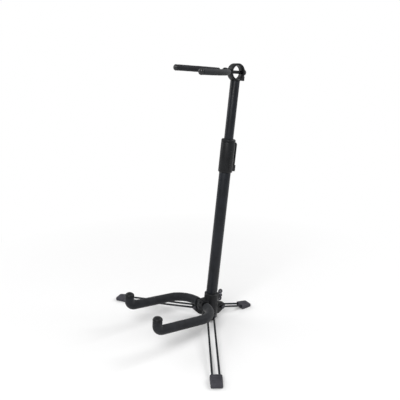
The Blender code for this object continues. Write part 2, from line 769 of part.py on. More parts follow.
def build_yoke(yoke, nut, black_plastic, black_steel, foam, rubber):
    half = yoke_path()
    fork = list(reversed(mirrored(half[1:]))) + half
    washer_front = RING_R + GAP + WASHER_THICKNESS
    block_back = -washer_front - GAP
    block_front = -YOKE_CROTCH - YOKE_BLOCK_HALF
    axle_end = RING_R + GAP + NUT_LENGTH * 0.75
    profile = [
        (0, block_front),
        (YOKE_BLOCK_R * 0.7, block_front),
        (YOKE_BLOCK_R, block_front + YOKE_BLOCK_HALF / 2),
        (YOKE_BLOCK_R, -YOKE_CROTCH),
        (WASHER_R - GAP, block_back),
        (AXLE_R, block_back),
        (AXLE_R, axle_end),
        (0, axle_end),
    ]
    bm = bmesh.new()
    turned(bm, profile, 16, along_y())
    stem = solid("yoke_stem", bm, black_plastic, yoke)
    bm = bmesh.new()
    swept(bm, fork, YOKE_WIRE_R + GAP, WIRE_SIDES)
    cut(stem, solid("fork_bore", bm, None, yoke))

    bm = bmesh.new()
    swept(bm, fork, YOKE_WIRE_R, WIRE_SIDES)
    solid("yoke_wire", bm, black_steel, yoke)

    clear = [point for point in half if point.x > YOKE_BLOCK_R + GAP]
    sleeve = clear[:-1] + [clear[-1] + Vector((0, 2 * GAP, 0))]
    for label, path in (("right", sleeve), ("left", mirrored(sleeve))):
        bm = bmesh.new()
        swept(bm, path, YOKE_FOAM_R, FOAM_SIDES, YOKE_WIRE_R + 2 * GAP)
        solid(f"yoke_sleeve_{label}", bm, foam, yoke)
        bm = bmesh.new()
        end = (half[-1] - half[-2]).normalized()
        if label == "left":
            end.x = -end.x
        turn = Vector((0, 0, 1)).rotation_difference(end).to_matrix().to_4x4()
        seat = path[-1] + end * 4 * GAP
        steps = 4
        profile = [(0, 0)]
        for step in range(steps):
            angle = pi / 2 * step / steps
            profile.append((YOKE_FOAM_R * cos(angle), YOKE_TIP_LENGTH * sin(angle)))
        profile.append((0, YOKE_TIP_LENGTH))
        turned(bm, profile, FOAM_SIDES, Matrix.Translation(seat) @ turn)
        solid(f"yoke_tip_{label}", bm, rubber, yoke)

    bm = bmesh.new()
    place = along_y(0, -washer_front, 0)
    tube(bm, WASHER_R, AXLE_R + GAP, 0, WASHER_THICKNESS, 16, place)
    solid("yoke_washer", bm, black_steel, yoke)

    bm = bmesh.new()
    nut_low = RING_R + GAP
    count = 4 * NUT_RIBS
    rings = []
    for y in (nut_low, nut_low + NUT_LENGTH):
        ring = []
        for step in range(count):
            angle = 2 * pi * step / count
            radius = NUT_R - (NUT_RIB_DEPTH if step % 4 >= 2 else 0)
            ring.append(bm.verts.new((radius * cos(angle), y, radius * sin(angle))))
        rings.append(ring)
        bm.faces.new(ring)
    for step in range(count):
        after = (step + 1) % count
        bm.faces.new((rings[0][step], rings[0][after], rings[1][after], rings[1][step]))
    knob = solid("yoke_nut", bm, black_plastic, nut)
    bm = bmesh.new()
    cylinder(bm, AXLE_R + GAP, nut_low - CUT_PAST, axle_end + GAP, 16, along_y())
    cut(knob, solid("nut_bore", bm, None, nut))


def main():
    clear_scene()
    black_steel = material("powder coated steel", (0.016, 0.018, 0.021), 0.38, 0.3)
    black_plastic = material("moulded nylon", (0.014, 0.014, 0.015), 0.42)
    foam = material("foam rubber", (0.020, 0.021, 0.024), 0.85)
    rubber = material("grey rubber", (0.058, 0.055, 0.062), 0.75)
    nylon = material("natural nylon", (0.55, 0.53, 0.48), 0.45)
    zinc = material("blackened zinc", (0.05, 0.05, 0.055), 0.35, 0.9)
    spring_steel = material("spring steel", (0.42, 0.42, 0.44), 0.3, 1.0)

    mast = empty("mast_axis", None, (0, MAST_FOOT_Y, 0), (-LEAN, 0, 0))
    slide = empty("slide_axis", mast)
    trigger = empty("trigger_axis", mast)
    wing = empty("wing_screw_axis", mast)
    yoke_lean = empty("yoke_lean", slide, (0, 0, RING_CENTRE), (LEAN - YOKE_TILT, 0, 0))
    yoke = empty("yoke_axis", yoke_lean, (0, 0, 0), (0, YOKE_SWIVEL, 0))
    nut = empty("nut_axis", yoke)
    saddle_y = MAST_FOOT_Y - CRADLE_PIVOT_FORWARD
    cradle = empty("cradle_axis", None, (0, saddle_y, CRADLE_PIVOT_RISE), (-CRADLE_TILT, 0, 0))

    build_mast(mast, slide, black_steel, nylon)
    build_collar(mast, trigger, black_plastic, zinc, spring_steel)
    wing_bm, wing_head = build_hub(mast, black_plastic, wing)
    build_wing_screw(wing_bm, wing_head, wing, zinc)
    build_saddle_screws(zinc)
    for name, turn, foot_reach, pivot_reach in leg_frames():
        build_leg(name, turn, foot_reach, pivot_reach, black_steel, rubber, zinc)
    build_cradle(cradle, black_steel, foam, black_plastic)
    build_ring(slide, yoke, black_plastic)
    build_yoke(yoke, nut, black_plastic, black_steel, foam, rubber)


main()
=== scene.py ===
"""Looks of the folding instrument stand: finishes, foam sleeves, rubber feet, small hardware, studio.

Metres, +Z up, in the CAD's own frame. X is to the right of someone facing the stand, and -Y is its front.
"""

import json
from math import cos, pi, radians, sin

import bmesh
import bpy
from mathutils import Matrix, Vector, noise


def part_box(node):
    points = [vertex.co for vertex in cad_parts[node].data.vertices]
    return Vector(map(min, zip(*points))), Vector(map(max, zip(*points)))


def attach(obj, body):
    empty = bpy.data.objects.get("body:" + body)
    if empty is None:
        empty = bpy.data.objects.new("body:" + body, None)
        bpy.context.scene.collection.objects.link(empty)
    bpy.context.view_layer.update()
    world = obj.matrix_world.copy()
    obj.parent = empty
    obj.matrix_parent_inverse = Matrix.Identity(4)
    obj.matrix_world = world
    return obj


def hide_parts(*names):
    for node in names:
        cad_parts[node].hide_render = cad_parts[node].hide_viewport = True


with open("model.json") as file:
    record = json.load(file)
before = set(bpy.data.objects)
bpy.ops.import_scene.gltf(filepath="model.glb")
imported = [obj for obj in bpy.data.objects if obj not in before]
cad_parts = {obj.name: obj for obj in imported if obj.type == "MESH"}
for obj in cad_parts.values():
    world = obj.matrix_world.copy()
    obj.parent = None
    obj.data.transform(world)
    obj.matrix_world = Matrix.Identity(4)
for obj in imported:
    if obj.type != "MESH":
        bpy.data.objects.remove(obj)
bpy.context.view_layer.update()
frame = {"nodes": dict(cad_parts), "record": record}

MM = 0.001

# Joints, bodies and finishes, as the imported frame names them
JOINTS = {joint["name"]: joint for joint in frame["record"]["behaviour"]["joints"]}
BODIES = frame["record"]["behaviour"]["bodies"]
SLOTS = {part["node"]: part["material_slot"] for part in frame["record"]["subparts"]}

# Mesh clean-up
SHARP_ANGLE = radians(36)
FLAT_ANGLE = radians(0.6)
WELD_DISTANCE = 1e-6

# Patterns of a finish: fine relief, and a broader cloud of so many grains across
RELIEF = {"Detail": 4.0, "Roughness": 0.6}
CLOUD = {"Detail": 5.0, "Roughness": 0.65}
CLOUD_GRAINS = 14
CLOUD_EDGES = (0.35, 0.68)

# Width of the broken edge that each making leaves
EDGES = {
    "moulded_nylon": 0.5 * MM,
    "powder_coat": 0.25 * MM,
    "blackened_zinc": 0.25 * MM,
    "nylon_glide": 0.3 * MM,
    "spring_steel": 0.0,
}
MODELLED_HERE = ("sleeve", "tip", "foot", "rivet", "clamp_screw", "cradle_cap")

# Mast and hub
MAST_LEAN = radians(6.38)
MAST_FOOT = Vector((0, 0.028589, 0))
HUB_Y = 0.031049

# Foam sleeves: the swell and the dimples are counted per metre
FOAM_SIDES = 40
FOAM_STEP = 1.4 * MM
FOAM_FEWEST_STEPS = 8
FOAM_END_RADIUS = 1.6 * MM
FOAM_END_STEPS = 6
FOAM_UNEVENNESS = 0.16 * MM
FOAM_SWELLS = 120
FOAM_DIMPLES = 420
FOAM_DIMPLE_SHARE = 0.5
FOAM_SKIN_GAP = 0.12 * MM

# Cradle, as the wire under the foam runs
CRADLE_TILT = radians(5.6)
CRADLE_LENGTH = 0.1386
CRADLE_HALF_SPAN = 0.0554
CRADLE_CORNER_R = 0.042
CRADLE_CORNER_STEPS = 24
CRADLE_BEND_R = 0.012
CRADLE_BEND_STEPS = 12
CRADLE_POST = 0.0205
CRADLE_FOAM_R = 9.2 * MM
CRADLE_BORE_R = 3.6 * MM
CRADLE_CAP_HEIGHT = 7.5 * MM
CRADLE_CAP_LIP = 1.0 * MM
CRADLE_CAP_SEAT = 0.3 * MM

# Yoke: its prongs curve by the shares of their span and reach given last
YOKE_TILT = radians(2.7)
YOKE_SWIVEL = radians(4.3)
YOKE_REACH = 0.1115
YOKE_HALF_SPAN = 0.0402
YOKE_CROTCH = 0.0245
YOKE_FOAM_START = 12.5 * MM
YOKE_FOAM_R = 5.75 * MM
YOKE_BORE_R = 3.1 * MM
YOKE_TIP_LENGTH = 5.8 * MM
YOKE_TIP_LIP = 0.8 * MM
YOKE_TIP_SEAT = 0.6 * MM
YOKE_PRONG_STEPS = 60
YOKE_SPREAD = 0.55
YOKE_TOE_IN = 0.12
YOKE_SIDE_PULL = 0.42

# Domes of the caps and tips
DOME_SIDES = 40
DOME_STEPS = 14
DOME_FULLNESS = 0.8
LIP_STEPS = 4

# Legs: turn from the front, reach of the foot's tip and reach of the pivot
LEGS = {
    "front_right": (radians(57.2), 0.2236, 0.031),
    "front_left": (radians(-57.2), 0.2236, 0.031),
    "rear": (pi, 0.105, 0.029),
}
PIVOT_RISE = 0.022
WIRE_OFFSET = 6.35 * MM
WIRE_END_RISE = 0.005
WIRE_END_SETBACK = 0.016

# Rubber feet
FOOT_LENGTH = 24.5 * MM
FOOT_HALF_WIDTH = 11 * MM
FOOT_HEIGHT = 11.5 * MM
FOOT_TIP_HEIGHT = 7.5 * MM
FOOT_TIP_NARROWING = 0.94
FOOT_SHOULDER = 0.8 * MM
FOOT_CROWN_SHARE = 0.6
FOOT_CORNER_R = 2.0 * MM
FOOT_CORNER_STEPS = 4
GROOVES = 4
GROOVE_START = 4.5 * MM
GROOVE_PITCH = 3.6 * MM
GROOVE_R = 1.1 * MM
GROOVE_RAISED = 0.1 * MM
GROOVE_PAST = 1.0 * MM
GROOVE_SIDES = 12
WIRE_BORE_R = 2.25 * MM
WIRE_BORE_SIDES = 20

# Grip ribs: piece, body, start in the mast's frame, count, spacing and size of one
RIB_ROWS = (
    (
        "trigger_grip_ribs", "collar_trigger", (0, 19.05 * MM, 0.336),
        8, 3.6 * MM, (7.4 * MM, 0.9 * MM, 1.1 * MM),
    ),
    (
        "collar_right_ribs", "base", (14 * MM, 0, 0.322),
        10, 4.2 * MM, (0.9 * MM, 9 * MM, 1.2 * MM),
    ),
    (
        "collar_left_ribs", "base", (-14 * MM, 0, 0.322),
        10, 4.2 * MM, (0.9 * MM, 9 * MM, 1.2 * MM),
    ),
)
RIB_ROUNDING = 0.4
RIB_ROUND_STEPS = 3

# Clamp screws and leg rivets
HEXAGON_R = 1.3 * MM
HEXAGON_DEPTH = 2.0 * MM
SCREW_EDGE = 0.25 * MM
RIVET_R = 2 * MM
RIVET_HALF_SHANK = 8.45 * MM
RIVET_HEAD_R = 4 * MM
RIVET_HEAD = 1.4 * MM
RIVET_HEAD_STEPS = 8
RIVET_SIDES = 28

# Studio: the floor's paint gives way to plain white between the two distances
FLOOR_HALF_SIDE = 12.0
FLOOR_FADE = (0.30, 0.75)
ROOM_LIGHT = 0.5
LAMPS = (
    ("key lamp", (1.0, -1.3, 1.7), 1.1, 30.0),
    ("fill lamp", (-1.5, -0.9, 1.2), 1.4, 12.0),
    ("rim lamp", (0.5, 1.5, 1.5), 1.0, 18.0),
)
LAMP_TARGET = Vector((0, 0.02, 0.25))

# Camera, where the photograph was taken from
CAMERA_PLACE = Vector((0.7077, -0.4882, 0.5136))
CAMERA_YAW = radians(-55.17)
CAMERA_PITCH = radians(-16.16)
CAMERA_ROLL = radians(0.39)
FOCAL_PIXELS = 468.1
FRAME_PIXELS = 400
SENSOR = 36.0


def colour(code):
    """The linear colour of an sRGB hex value."""
    channels = []
    for start in (0, 2, 4):
        value = int(code[start:start + 2], 16) / 255
        channels.append(value / 12.92 if value <= 0.04045 else ((value + 0.055) / 1.055) ** 2.4)
    return (*channels, 1.0)


def add_node(tree, kind, settings=(), links=()):
    """Adds a node, sets its properties and sockets by name, and links its inputs."""
    item = tree.nodes.new(kind)
    for name, value in dict(settings).items():
        if hasattr(item, name) and name not in item.inputs:
            setattr(item, name, value)
        else:
            item.inputs[name].default_value = value
    for socket, source in dict(links).items():
        tree.links.new(source, item.inputs[socket])
    return item


def new_material(name):
    """A material with its tree and its shader."""
    finish = bpy.data.materials.new(name)
    finish.use_nodes = True
    return finish, finish.node_tree, finish.node_tree.nodes["Principled BSDF"]


def surface(name, low, high, roughness, grain, bump, extra=()):
    """A finish with a mottled colour, uneven roughness and a fine relief. Its grain is in metres."""
    finish, tree, shader = new_material(name)
    place = add_node(tree, "ShaderNodeTexCoord").outputs["Object"]
    relief = add_node(tree, "ShaderNodeTexNoise", {"Scale": 1 / grain, **RELIEF}, {"Vector": place})
    broad = {"Scale": 1 / (grain * CLOUD_GRAINS), **CLOUD}
    cloud = add_node(tree, "ShaderNodeTexNoise", broad, {"Vector": place})

    ramp = add_node(tree, "ShaderNodeValToRGB", (), {"Fac": cloud.outputs["Fac"]})
    for stop, edge, code in zip(ramp.color_ramp.elements, CLOUD_EDGES, (low, high)):
        stop.position = edge
        stop.color = colour(code)
    spread = {"To Min": roughness[0], "To Max": roughness[1]}
    rough = add_node(tree, "ShaderNodeMapRange", spread, {"Value": cloud.outputs["Fac"]})
    depth = {"Strength": bump[0], "Distance": bump[1]}
    raised = add_node(tree, "ShaderNodeBump", depth, {"Height": relief.outputs["Fac"]})

    tree.links.new(ramp.outputs["Color"], shader.inputs["Base Color"])
    tree.links.new(rough.outputs["Result"], shader.inputs["Roughness"])
    tree.links.new(raised.outputs["Normal"], shader.inputs["Normal"])
    for socket, value in dict(extra).items():
        shader.inputs[socket].default_value = value
    return finish


def make_finishes():
    """One finish for each of the record's slots, named for what the real surface is.

    Apart from the powder coat's orange peel, each relief is really finer than it is drawn here:
    mould grain, foam cells and drawing marks are coarse enough to show.
    """
    return {
        # Baked satin powder coat: black with a blue-grey gleam and a faint orange peel
        "powder_coat": surface(
            "satin black powder coat", "121418", "1c1f25", (0.30, 0.42), 1.4 * MM, (0.25, 0.1 * MM),
            {"Specular IOR Level": 0.25},
        ),
        # Glass-filled nylon from a spark-eroded mould: dull near-black with a leathery grain
        "moulded_nylon": surface(
            "moulded black nylon", "0d0e10", "16171a", (0.36, 0.50), 0.8 * MM, (0.35, 0.12 * MM),
            {"Specular IOR Level": 0.25},
        ),
        # Closed-cell foam tube: soft black skin, small cells, a grey bloom at grazing light
        "foam": surface(
            "closed-cell foam rubber", "191a1d", "25272b", (0.60, 0.80), 0.9 * MM, (0.55, 0.25 * MM),
            {"Sheen Weight": 0.12, "Sheen Roughness": 0.45, "Specular IOR Level": 0.2},
        ),
        # Compression-moulded rubber boot: warm dark grey, chalky where it is handled
        "rubber_foot": surface(
            "moulded grey rubber", "35343a", "47464c", (0.60, 0.78), 1.0 * MM, (0.35, 0.15 * MM),
            {"Specular IOR Level": 0.25},
        ),
        # Dip-moulded rubber tip: black and a little glossy
        "rubber_tip": surface(
            "dipped black rubber", "121315", "1c1d20", (0.28, 0.40), 1.6 * MM, (0.15, 0.1 * MM),
        ),
        # Undyed nylon bush: milky, faintly clouded
        "nylon_glide": surface(
            "natural nylon", "cfccc0", "dedbd0", (0.38, 0.50), 1.2 * MM, (0.15, 0.1 * MM),
        ),
        # Zinc plate with a black passivate: dark metal, mottled with grey
        "blackened_zinc": surface(
            "black passivated zinc", "3a3a3e", "57575c", (0.28, 0.42), 0.7 * MM, (0.2, 0.05 * MM),
            {"Metallic": 1.0},
        ),
        # Drawn wire: bright steel, nearly smooth
        "spring_steel": surface(
            "drawn spring steel", "9a9a9e", "b4b4b8", (0.2, 0.3), 0.5 * MM, (0.1, 0.03 * MM),
            {"Metallic": 1.0},
        ),
    }


def plain_mesh(item):
    """The mesh that an object's modifiers give."""
    bpy.context.view_layer.update()
    graph = bpy.context.evaluated_depsgraph_get()
    return bpy.data.meshes.new_from_object(item.evaluated_get(graph))


def linked_object(name, data):
    item = bpy.data.objects.new(name, data)
    bpy.context.scene.collection.objects.link(item)
    return item


def plain_object(name, bm, modifiers=()):
    """The mesh that a bmesh and its finishing modifiers give, as an object at the origin."""
    mesh = bpy.data.meshes.new(name)
    bm.to_mesh(mesh)
    bm.free()
    item = linked_object(name, mesh)
    for kind, settings in modifiers:
        change = item.modifiers.new(kind.lower(), kind)
        for setting, value in settings.items():
            setattr(change, setting, value)
    if modifiers:
        finished = plain_mesh(item)
        item.modifiers.clear()
        item.data = finished
    item.data.shade_smooth()
    item.data.set_sharp_from_angle(angle=SHARP_ANGLE)
    return item


def rounded(width, segments=2):
    """A modifier that breaks the sharp edges."""
    return ("BEVEL", {
        "width": width, "segments": segments, "limit_method": "ANGLE",
        "angle_limit": SHARP_ANGLE, "use_clamp_overlap": True,
    })


def without(cutter):
    """A modifier that takes a cutter's shape away."""
    return ("BOOLEAN", {"operation": "DIFFERENCE", "object": cutter, "solver": "EXACT"})


def fit(item, body, slot, finishes, nodes=()):
    """Gives a piece its finish and its body, and hides the nodes it stands for."""
    item.data.materials.clear()
    item.data.materials.append(finishes[slot])
    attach(item, body)
    if nodes:
        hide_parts(*nodes)


def merged(node):
    """A joined-up copy of a node's loose triangles, with its flat faces whole again."""
    bm = bmesh.new()
    bm.from_mesh(frame["nodes"][node].data)
    bmesh.ops.remove_doubles(bm, verts=bm.verts, dist=WELD_DISTANCE)
    bmesh.ops.dissolve_limit(bm, angle_limit=FLAT_ANGLE, verts=bm.verts, edges=bm.edges)
    return bm


def dress_rigid_nodes(finishes):
    """Finishes every node that no modelled piece stands for, and breaks its edges as moulding,
    deburring or a coat of powder leaves them.
    """
    for node in frame["nodes"]:
        if any(word in node for word in MODELLED_HERE):
            continue
        slot = SLOTS[node]
        body = next(body for body, nodes in BODIES.items() if node in nodes)
        edge = EDGES[slot]
        item = plain_object(f"{node}_finished", merged(node), [rounded(edge)] if edge else ())
        fit(item, body, slot, finishes, [node])


def bridge(bm, rings, sides):
    """Faces between each ring and the next. A ring of one point is a pole."""
    for low, high in zip(rings, rings[1:]):
        for side in range(sides):
            corners = [low[side % len(low)], low[(side + 1) % len(low)]]
            corners += [high[(side + 1) % len(high)], high[side % len(high)]]
            bm.faces.new(list(dict.fromkeys(corners)))


def turned(name, place, profile, sides):
    """A solid turned about the place's Z axis from (radius, rise) points, its first ring filled."""
    bm = bmesh.new()
    rings = []
    for size, rise in profile:
        ring = []
        for side in range(sides if size else 1):
            angle = 2 * pi * side / sides
            ring.append(bm.verts.new(place @ Vector((size * cos(angle), size * sin(angle), rise))))
        rings.append(ring)
    if len(rings[0]) > 1:
        bm.faces.new(rings[0])
    bridge(bm, rings, sides)
    bmesh.ops.recalc_face_normals(bm, faces=bm.faces)
    return plain_object(name, bm)


def evenly_spaced(points, step):
    """The same route with its points closer together, all one step apart."""
    lengths = [0.0]
    for before, after in zip(points, points[1:]):
        lengths.append(lengths[-1] + (after - before).length)
    count = max(FOAM_FEWEST_STEPS, round(lengths[-1] / step))
    route = []
    at = 0
    for number in range(count + 1):
        want = lengths[-1] * number / count
        while at < len(points) - 2 and lengths[at + 1] < want:
            at += 1
        share = (want - lengths[at]) / (lengths[at + 1] - lengths[at])
        route.append(points[at].lerp(points[at + 1], min(share, 1.0)))
    return route


def path_frames(path):
    """The direction of a route at each point, and a normal that doesn't twist along it."""
    last = len(path) - 1
    tangents = []
    for step in range(len(path)):
        tangents.append((path[min(step + 1, last)] - path[max(step - 1, 0)]).normalized())
    normals = [tangents[0].orthogonal().normalized()]
    for before, after in zip(tangents, tangents[1:]):
        normal = normals[-1].copy()
        normal.rotate(before.rotation_difference(after))
        normals.append((normal - after * normal.dot(after)).normalized())
    return tangents, normals


def foam_sleeve(name, points, radius, bore):
    """A foam tube slid over a wire: a little uneven, with cut ends that have softened."""
    path = evenly_spaced(points, FOAM_STEP)
    tangents, normals = path_frames(path)
    last = len(path) - 1
    bm = bmesh.new()

    def ring(at, along, size, uneven):
        centre = path[at] + tangents[at] * along
        across = tangents[at].cross(normals[at])
        made = []
        for side in range(FOAM_SIDES):
            angle = 2 * pi * side / FOAM_SIDES
            out = cos(angle) * normals[at] + sin(angle) * across
            skin = centre + out * radius
            dimple = FOAM_DIMPLE_SHARE * noise.noise(skin * FOAM_DIMPLES)
            swell = noise.noise(skin * FOAM_SWELLS) + dimple
            height = size + uneven * FOAM_UNEVENNESS * (swell - 1)
            made.append(bm.verts.new(centre + out * height))
        return made

    # One end's section: the bore's edge, the flat of the cut, and the softened rim
    rim = [(0.0, bore, 0.0), (0.0, radius - FOAM_END_RADIUS, 1.0)]
    for number in range(1, FOAM_END_STEPS + 1):
        angle = pi / 2 * number / FOAM_END_STEPS
        inset = FOAM_END_RADIUS * (1 - cos(angle))
        rim.append((inset, radius - FOAM_END_RADIUS * (1 - sin(angle)), 1.0))

    rings = [ring(0, along, size, uneven) for along, size, uneven in rim]
    rings += [ring(step, 0.0, radius, 1.0) for step in range(2, last - 1)]
    rings += [ring(last, -along, size, uneven) for along, size, uneven in reversed(rim)]
    rings += [ring(step, 0.0, bore, 0.0) for step in range(last - 1, 0, -1)]
    bridge(bm, rings + rings[:1], FOAM_SIDES)
    bmesh.ops.recalc_face_normals(bm, faces=bm.faces)
    return plain_object(name, bm)


def quarter(centre, first, second, steps):
    """A quarter of a circle, from one spoke to the other."""
    points = []
    for step in range(steps + 1):
        angle = pi / 2 * step / steps
        points.append(Vector(centre) + cos(angle) * Vector(first) + sin(angle) * Vector(second))
    return points


def both_sides(route):
    """The right route, and the left one that mirrors it."""
    return (
        ("right", route),
        ("left", [Vector((-point.x, point.y, point.z)) for point in route]),
    )


def cradle_frame():
    pivot = Vector(JOINTS["cradle_fold"]["pos_m"])
    return Matrix.Translation(pivot) @ Matrix.Rotation(-CRADLE_TILT, 4, "X")


def cradle_route():
    """The right arm and post, in the cradle's own frame, with its pivot at the origin."""
    corner = (CRADLE_HALF_SPAN - CRADLE_CORNER_R, -CRADLE_CORNER_R, 0)
    spokes = (0, CRADLE_CORNER_R, 0), (CRADLE_CORNER_R, 0, 0)
    points = quarter(corner, *spokes, CRADLE_CORNER_STEPS)
    bend = (CRADLE_HALF_SPAN, -(CRADLE_LENGTH - CRADLE_BEND_R), CRADLE_BEND_R)
    spokes = (0, 0, -CRADLE_BEND_R), (0, -CRADLE_BEND_R, 0)
    points += quarter(bend, *spokes, CRADLE_BEND_STEPS)
    points.append(Vector((CRADLE_HALF_SPAN, -CRADLE_LENGTH, CRADLE_POST)))
    return points


def yoke_frame():
    axle = Vector(JOINTS["yoke_swivel"]["pos_m"])
    level = Matrix.Translation(axle) @ Matrix.Rotation(-YOKE_TILT, 4, "X")
    return level @ Matrix.Rotation(YOKE_SWIVEL, 4, "Y")


def yoke_route():
    """The right prong's foam, in the yoke's own frame, with its axle through the origin."""
    start = Vector((0, -YOKE_CROTCH, 0))
    end = Vector((YOKE_HALF_SPAN, -YOKE_REACH + YOKE_TIP_LENGTH, 0))
    pull_out = start + Vector((YOKE_HALF_SPAN * YOKE_SPREAD, 0, 0))
    pull_back = end + Vector((-YOKE_HALF_SPAN * YOKE_TOE_IN, YOKE_REACH * YOKE_SIDE_PULL, 0))
    points = []
    for step in range(YOKE_PRONG_STEPS + 1):
        t = step / YOKE_PRONG_STEPS
        near = (1 - t) ** 3 * start + 3 * (1 - t) ** 2 * t * pull_out
        points.append(near + 3 * (1 - t) * t**2 * pull_back + t**3 * end)
    return [point for point in points if point.x > YOKE_FOAM_START]


def make_foam(finishes):
    sets = (
        ("cradle", cradle_frame(), cradle_route(), CRADLE_FOAM_R, CRADLE_BORE_R),
        ("yoke", yoke_frame(), yoke_route(), YOKE_FOAM_R, YOKE_BORE_R),
    )
    for group, place, route, radius, bore in sets:
        for label, points in both_sides(route):
            node = f"{group}_sleeve_{label}"
            world = [place @ point for point in points]
            sleeve = foam_sleeve(f"{node}_foam", world, radius - FOAM_SKIN_GAP, bore)
            fit(sleeve, group, "foam", finishes, [node])


def dome(radius, height, lip):
    """Section of a domed cap with a rounded lip."""
    profile = [(radius - lip, 0.0)]
    for number in range(LIP_STEPS + 1):
        angle = pi / 2 * number / LIP_STEPS
        profile.append((radius - lip + lip * sin(angle), lip * (1 - cos(angle))))
    for number in range(1, DOME_STEPS):
        angle = pi / 2 * number / DOME_STEPS
        profile.append((radius * cos(angle) ** DOME_FULLNESS, lip + (height - lip) * sin(angle)))
    return profile + [(0, height)]


def make_cradle_caps(finishes):
    section = dome(CRADLE_FOAM_R, CRADLE_CAP_HEIGHT, CRADLE_CAP_LIP)
    rise = CRADLE_POST + CRADLE_CAP_SEAT
    for label, side in (("right", 1), ("left", -1)):
        seat = Matrix.Translation((side * CRADLE_HALF_SPAN, -CRADLE_LENGTH, rise))
        name = f"cradle_cap_{label}"
        cap = turned(f"{name}_moulded", cradle_frame() @ seat, section, DOME_SIDES)
        fit(cap, "cradle", "moulded_nylon", finishes, [name])


def make_yoke_tips(finishes):
    section = dome(YOKE_FOAM_R, YOKE_TIP_LENGTH, YOKE_TIP_LIP)
    for label, points in both_sides(yoke_route()):
        end = (points[-1] - points[-3]).normalized()
        turn = Vector((0, 0, 1)).rotation_difference(end).to_matrix().to_4x4()
        seat = Matrix.Translation(points[-1] + end * YOKE_TIP_SEAT)
        name = f"yoke_tip_{label}"
        tip = turned(f"{name}_dipped", yoke_frame() @ seat @ turn, section, DOME_SIDES)
        fit(tip, "yoke", "rubber_tip", finishes, [name])


def leg_frame(turn):
    """The hub's foot, turned so that -Y runs out along the leg."""
    return Matrix.Translation((0, HUB_Y, 0)) @ Matrix.Rotation(turn, 4, "Z")


def foot_blank(place, reach):
    """A boot before its grooves and bores: a low wedge, narrower and lower at its tip."""
    bm = bmesh.new()
    sections = (
        (-reach, FOOT_TIP_HEIGHT, FOOT_HALF_WIDTH * FOOT_TIP_NARROWING),
        (-reach + FOOT_LENGTH, FOOT_HEIGHT, FOOT_HALF_WIDTH),
    )
    ends = []
    for y, height, half in sections:
        shoulder = height - FOOT_SHOULDER
        crown = half * FOOT_CROWN_SHARE
        lower = ((-half, 0), (half, 0), (half, shoulder))
        upper = ((crown, height), (-crown, height), (-half, shoulder))
        ends.append([bm.verts.new(place @ Vector((x, y, z))) for x, z in lower + upper])
    for end in ends:
        bm.faces.new(end)
    bridge(bm, ends, len(ends[0]))
    bmesh.ops.recalc_face_normals(bm, faces=bm.faces)
    return bm


def rods(name, ends, radius, sides):
    """Straight round cutters between pairs of points."""
    bm = bmesh.new()
    for low, high in ends:
        along = high - low
        turn = Vector((0, 0, 1)).rotation_difference(along.normalized()).to_matrix().to_4x4()
        middle = Matrix.Translation((low + high) / 2)
        bmesh.ops.create_cone(
            bm, cap_ends=True, segments=sides, radius1=radius, radius2=radius,
            depth=along.length, matrix=middle @ turn,
        )
    return plain_object(name, bm)


def foot_cutters(name, place, reach, pivot_reach):
    """What is taken out of a boot: grip grooves across its top, and the bores for its wires."""
    slope = (FOOT_HEIGHT - FOOT_TIP_HEIGHT) / FOOT_LENGTH
    side = FOOT_HALF_WIDTH + GROOVE_PAST
    grooves = []
    for number in range(GROOVES):
        back = GROOVE_START + number * GROOVE_PITCH
        height = FOOT_TIP_HEIGHT + slope * (FOOT_LENGTH - back) + GROOVE_RAISED
        y = -reach + FOOT_LENGTH - back
        grooves.append((place @ Vector((-side, y, height)), place @ Vector((side, y, height))))
    bores = []
    for x in (-WIRE_OFFSET, WIRE_OFFSET):
        pivot = place @ Vector((x, -pivot_reach, PIVOT_RISE))
        end = place @ Vector((x, WIRE_END_SETBACK - reach, WIRE_END_RISE))
        bores.append((pivot, end))
    return (
        rods(f"{name}_grooves", grooves, GROOVE_R, GROOVE_SIDES),
        rods(f"{name}_bores", bores, WIRE_BORE_R, WIRE_BORE_SIDES),
    )


def make_feet(finishes):
    for name, (turn, reach, pivot_reach) in LEGS.items():
        place = leg_frame(turn)
        cutters = foot_cutters(name, place, reach, pivot_reach)
        steps = [rounded(FOOT_CORNER_R, FOOT_CORNER_STEPS)]
        steps += [without(cutter) for cutter in cutters]
        boot = plain_object(f"{name}_foot_boot", foot_blank(place, reach), steps)
        for cutter in cutters:
            bpy.data.objects.remove(cutter)
        fit(boot, f"{name}_leg", "rubber_foot", finishes, [f"{name}_foot"])


def ribs_tree(finish):
    """Geometry Nodes: a row of bars, with named inputs for their number, spacing and size."""
    tree = bpy.data.node_groups.new("grip ribs", "GeometryNodeTree")
    new_socket = tree.interface.new_socket
    count = new_socket("Count", in_out="INPUT", socket_type="NodeSocketInt")
    spacing = new_socket("Spacing", in_out="INPUT", socket_type="NodeSocketFloat")
    size = new_socket("Rib Size", in_out="INPUT", socket_type="NodeSocketVector")
    new_socket("Geometry", in_out="OUTPUT", socket_type="NodeSocketGeometry")

    given = add_node(tree, "NodeGroupInput").outputs
    step = add_node(tree, "ShaderNodeCombineXYZ", (), {"Z": given["Spacing"]})
    spots = {"Count": given["Count"], "Offset": step.outputs["Vector"]}
    line = add_node(tree, "GeometryNodeMeshLine", (), spots)
    bar = add_node(tree, "GeometryNodeMeshCube", (), {"Size": given["Rib Size"]})
    pair = {"Points": line.outputs["Mesh"], "Instance": bar.outputs["Mesh"]}
    row = add_node(tree, "GeometryNodeInstanceOnPoints", (), pair)
    copies = {"Geometry": row.outputs["Instances"]}
    real = add_node(tree, "GeometryNodeRealizeInstances", (), copies)
    bars = {"Geometry": real.outputs["Geometry"]}
    painted = add_node(tree, "GeometryNodeSetMaterial", {"Material": finish}, bars)
    add_node(tree, "NodeGroupOutput", (), {"Geometry": painted.outputs["Geometry"]})
    return tree, (count.identifier, spacing.identifier, size.identifier)


